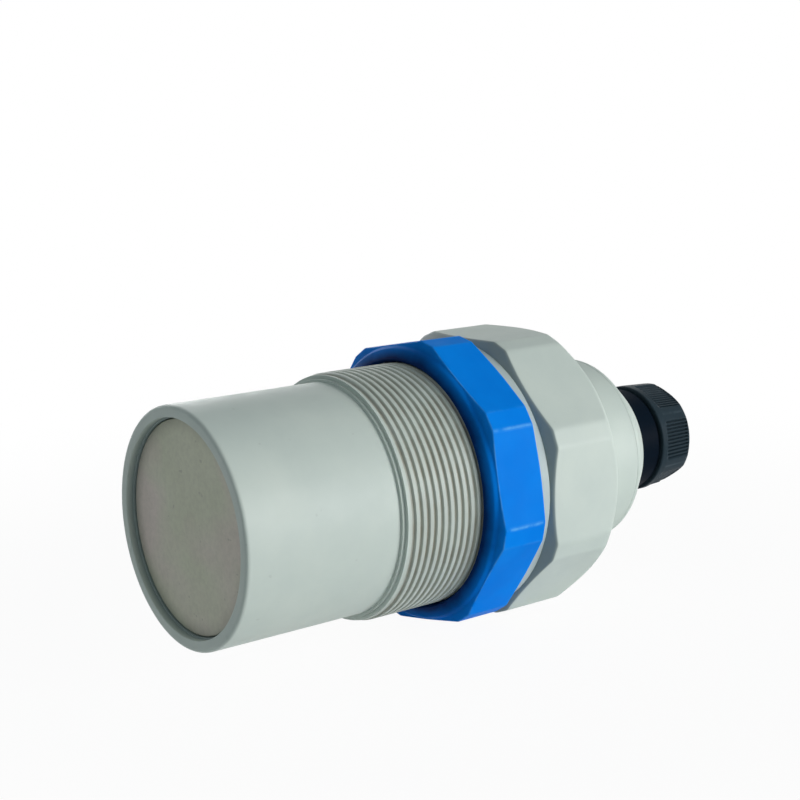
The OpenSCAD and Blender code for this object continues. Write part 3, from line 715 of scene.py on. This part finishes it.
def cast_resin(name, warm, cool, dark, roughness):
    """The cast matching layer: cloudy, with a fine filler, a few dark specks and painted shade by its edge.
    """
    material, tree, main = shader(name, linear(warm), roughness)
    coords = object_coords(tree)
    clouds = stretch(tree, noise(tree, coords, 34, 2.0), 0.42, 0.58)
    colour = two_tone(tree, clouds, linear(warm), linear(cool))
    filler = stretch(tree, noise(tree, coords, 900, 2.0), 0.35, 0.7)
    colour = tint(tree, colour, times(tree, filler, 0.22), linear(dark))
    spots = stretch(tree, noise(tree, coords, 520, 1.0), 0.74, 0.78)
    colour = tint(tree, colour, times(tree, spots, 0.5), linear(dark))
    # Painted shade towards the disc's edge, in patches.
    edge = stretch(tree, from_axis(tree, coords), 0.021, 0.0246, 0.0, 0.7)
    patchy = stretch(tree, noise(tree, coords, 60), 0.3, 0.6, 0.4)
    colour = tint(tree, colour, times(tree, edge, patchy), linear(dark))
    tree.links.new(colour, main.inputs["Base Color"])
    uneven_gloss(tree, main, noise(tree, coords, 120), roughness - 0.08, roughness + 0.1)
    grain(tree, main, noise(tree, coords, 1400, 3.0), 0.2)
    return material


# The grey's groove colour is dirt and painted shade in the thread, the blue's is painted shade on the nut's
# front, and the black's is dirt and painted shade between the ribs. The light edge colours are wear and a
# painted highlight, and the grey's bluish dark colour is painted shade.
grey = moulded("housing_plastic", (206, 216, 208), (199, 210, 203), 0.5, specular=0.4, dirt_and_shade=(160, 158, 144),
               specks=(140, 148, 142), painted_shade=(142, 156, 154))
blue = moulded("nut_plastic", (5, 140, 246), (2, 130, 238), 0.5, specular=0.03, wear_and_highlight=(110, 190, 252),
               dirt_and_shade=(0, 42, 98), thin=0.85)
pale = moulded("washer_plastic", (190, 203, 202), (182, 195, 195), 0.55, specular=0.4)
black = moulded("gland_nylon", (42, 56, 64), (33, 47, 55), 0.4, specular=0.05, wear_and_highlight=(76, 90, 98),
                dirt_and_shade=(20, 30, 34))
taupe = cast_resin("face_resin", (216, 203, 193), (207, 209, 185), (161, 159, 144), 0.5)

# For each material slot of the plain nodes: the light and the dark tone, roughness, metallic and specular
INNER = {
    "silvered_ceramic": ((205, 205, 200), (188, 188, 184), 0.35, 0.9, 0.5),
    "damping_brown": ((95, 82, 70), (82, 70, 60), 0.8, 0.0, 0.5),
    "cork_tan": ((188, 148, 102), (160, 120, 80), 0.85, 0.0, 0.5),
    "tinned_metal": ((198, 198, 200), (178, 178, 180), 0.3, 1.0, 0.5),
    "lead_red": ((180, 36, 30), (164, 30, 26), 0.45, 0.0, 0.5),
    "connector_white": ((230, 227, 214), (220, 216, 204), 0.5, 0.0, 0.5),
    "board_green": ((30, 100, 55), (22, 86, 46), 0.4, 0.0, 0.5),
    "ferrite_dark": ((54, 54, 56), (44, 44, 46), 0.6, 0.0, 0.5),
    "winding_amber": ((205, 160, 66), (190, 146, 56), 0.35, 0.0, 0.5),
    "can_aluminium": ((205, 205, 207), (190, 190, 192), 0.3, 1.0, 0.5),
    "terminal_green": ((46, 112, 64), (38, 100, 56), 0.45, 0.0, 0.5),
    "chip_black": ((34, 34, 36), (26, 26, 28), 0.5, 0.0, 0.5),
    "rubber_black": ((26, 26, 28), (20, 20, 22), 0.7, 0.0, 0.5),
    "gland_black": ((5, 18, 30), (3, 12, 24), 0.45, 0.0, 0.02),
}
inner_materials = {}
for slot_name, (light, dark, roughness, metallic, specular) in INNER.items():
    made = moulded("inner_" + slot_name, light, dark, roughness, specular)
    made.node_tree.nodes["Principled BSDF"].inputs["Metallic"].default_value = metallic
    inner_materials[slot_name] = made


# Pieces and the nodes that they stand for

def dress(obj, material, body, slot_name, *replaced):
    obj.data.materials.clear()
    obj.data.materials.append(material)
    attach(obj, body)
    if replaced:
        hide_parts(*replaced)


dress(housing, grey, "sensor", "housing_grey", "housing")
dress(rails, grey, "sensor", "housing_grey")
dress(lock_nut, blue, "nut", "nut_blue", "lock_nut")
dress(washer, pale, "washer", "washer_grey", "sealing_washer")
dress(rear_cap, grey, "sensor", "housing_grey", "rear_cap")
dress(face_disc, taupe, "sensor", "face_taupe", "face_disc")
dress(gland_nut, black, "dome_nut", "gland_black", "gland_nut")

replaced_nodes = {"housing", "lock_nut", "sealing_washer", "rear_cap", "face_disc", "gland_nut"}
for entry in frame["record"]["subparts"]:
    if entry["node"] in replaced_nodes:
        continue
    plain = nodes[entry["node"]]
    plain.data.materials.clear()
    plain.data.materials.append(inner_materials[entry["material_slot"]])


# Camera, from a fit of the rim, barrel, thread, nut and head to the photograph's view

CAMERA_PLACE = Vector((-245.3, -297.4, 94.7)) * MM
CAMERA_RIGHT = Vector((0.79285, -0.60919, -0.01669)).normalized()
CAMERA_UP = Vector((0.13063, 0.14312, 0.98105)).normalized()
CAMERA_LENS = 70.45

camera = bpy.data.objects.new("camera", bpy.data.cameras.new("camera"))
bpy.context.scene.collection.objects.link(camera)
camera_back = CAMERA_RIGHT.cross(CAMERA_UP).normalized()
camera_up = camera_back.cross(CAMERA_RIGHT)
camera_turn = Matrix((CAMERA_RIGHT, camera_up, camera_back)).transposed().to_4x4()
camera.matrix_world = Matrix.Translation(CAMERA_PLACE) @ camera_turn
camera.data.sensor_width = 36
camera.data.lens = CAMERA_LENS
camera.data.clip_start = 0.01
camera.data.clip_end = 50
bpy.context.scene.camera = camera


# Lights: soft discs that face the sensor, each with its place in metres and its power in watts

LIGHT_SIZE = 0.8
LIGHTS = {
    "key": ((0.54, -0.95, 0.11), 13.2),
    "top": ((0.055, -0.165, 1.1), 0.3),
    "front": ((-0.75, 0.25, 0.8), 0.8),
    "back": ((0.2, 1.05, 0.26), 5.0),
}
for light_name, (place, power) in LIGHTS.items():
    lamp = bpy.data.lights.new(light_name, "AREA")
    lamp.shape = "DISK"
    lamp.size = LIGHT_SIZE
    lamp.energy = power
    lamp_object = bpy.data.objects.new(light_name, lamp)
    bpy.context.scene.collection.objects.link(lamp_object)
    lamp_object.location = place
    lamp_object.rotation_euler = (-Vector(place)).to_track_quat("-Z", "Y").to_euler()


# Floor and background. The floor's sizes and the shadow's distances are in metres.

FLOOR_HALF = 6
FLOOR_GAP = 0.0002
SHADOW_NEAR = 0.1
SHADOW_FAR = 0.3
SHADOW_WHITE = 0.95
AMBIENT = 0.122
AMBIENT_COLOUR = (0.76, 1, 1.1, 1)


def direct_view(tree):
    """1 for rays from the camera, a reflection or a clear piece, and 0 for the rays that gather light."""
    path = tree.nodes.new("ShaderNodeLightPath")
    value = path.outputs["Is Camera Ray"]
    for kind in ("Is Glossy Ray", "Is Transmission Ray"):
        larger = tree.nodes.new("ShaderNodeMath")
        larger.operation = "MAXIMUM"
        tree.links.new(value, larger.inputs[0])
        tree.links.new(path.outputs[kind], larger.inputs[1])
        value = larger.outputs["Value"]
    return value


floor_z = cad_low.z - FLOOR_GAP
floor_corners = [(x * FLOOR_HALF, y * FLOOR_HALF, floor_z) for x, y in ((-1, -1), (1, -1), (1, 1), (-1, 1))]
floor_mesh = bpy.data.meshes.new("floor")
floor_mesh.from_pydata(floor_corners, [], [(0, 1, 2, 3)])
floor = bpy.data.objects.new("floor", floor_mesh)
bpy.context.scene.collection.objects.link(floor)
floor_material, floor_tree, floor_main = shader("floor_white", linear((250, 250, 250)), 0.9, 0.0)
floor_mesh.materials.append(floor_material)

# The floor is white where it is seen, and keeps a share of the shadow close to the sensor.
glow = floor_tree.nodes.new("ShaderNodeEmission")
glow.inputs["Color"].default_value = (1, 1, 1, 1)
glow.inputs["Strength"].default_value = 1.0
distance = floor_tree.nodes.new("ShaderNodeVectorMath")
distance.operation = "LENGTH"
floor_tree.links.new(object_coords(floor_tree), distance.inputs[0])
fade = floor_tree.nodes.new("ShaderNodeMapRange")
fade.interpolation_type = "SMOOTHSTEP"
fade.inputs["From Min"].default_value = SHADOW_NEAR
fade.inputs["From Max"].default_value = SHADOW_FAR
fade.inputs["To Min"].default_value = SHADOW_WHITE
fade.inputs["To Max"].default_value = 1.0
floor_tree.links.new(distance.outputs["Value"], fade.inputs["Value"])
floor_mix = floor_tree.nodes.new("ShaderNodeMixShader")
floor_share = times(floor_tree, direct_view(floor_tree), fade.outputs["Result"])
floor_tree.links.new(floor_share, floor_mix.inputs["Fac"])
floor_tree.links.new(floor_main.outputs["BSDF"], floor_mix.inputs[1])
floor_tree.links.new(glow.outputs["Emission"], floor_mix.inputs[2])
floor_tree.links.new(floor_mix.outputs["Shader"], floor_tree.nodes["Material Output"].inputs["Surface"])

world = bpy.data.worlds.new("studio")
bpy.context.scene.world = world
world.use_nodes = True
world_tree = world.node_tree
ambient = world_tree.nodes["Background"]
ambient.inputs["Color"].default_value = AMBIENT_COLOUR
ambient.inputs["Strength"].default_value = AMBIENT
white = world_tree.nodes.new("ShaderNodeBackground")
white.inputs["Color"].default_value = (1, 1, 1, 1)
white.inputs["Strength"].default_value = 1.0
world_mix = world_tree.nodes.new("ShaderNodeMixShader")
world_tree.links.new(direct_view(world_tree), world_mix.inputs["Fac"])
world_tree.links.new(ambient.outputs["Background"], world_mix.inputs[1])
world_tree.links.new(white.outputs["Background"], world_mix.inputs[2])
world_tree.links.new(world_mix.outputs["Shader"], world_tree.nodes["World Output"].inputs["Surface"])

bpy.context.scene.view_settings.view_transform = "Standard"
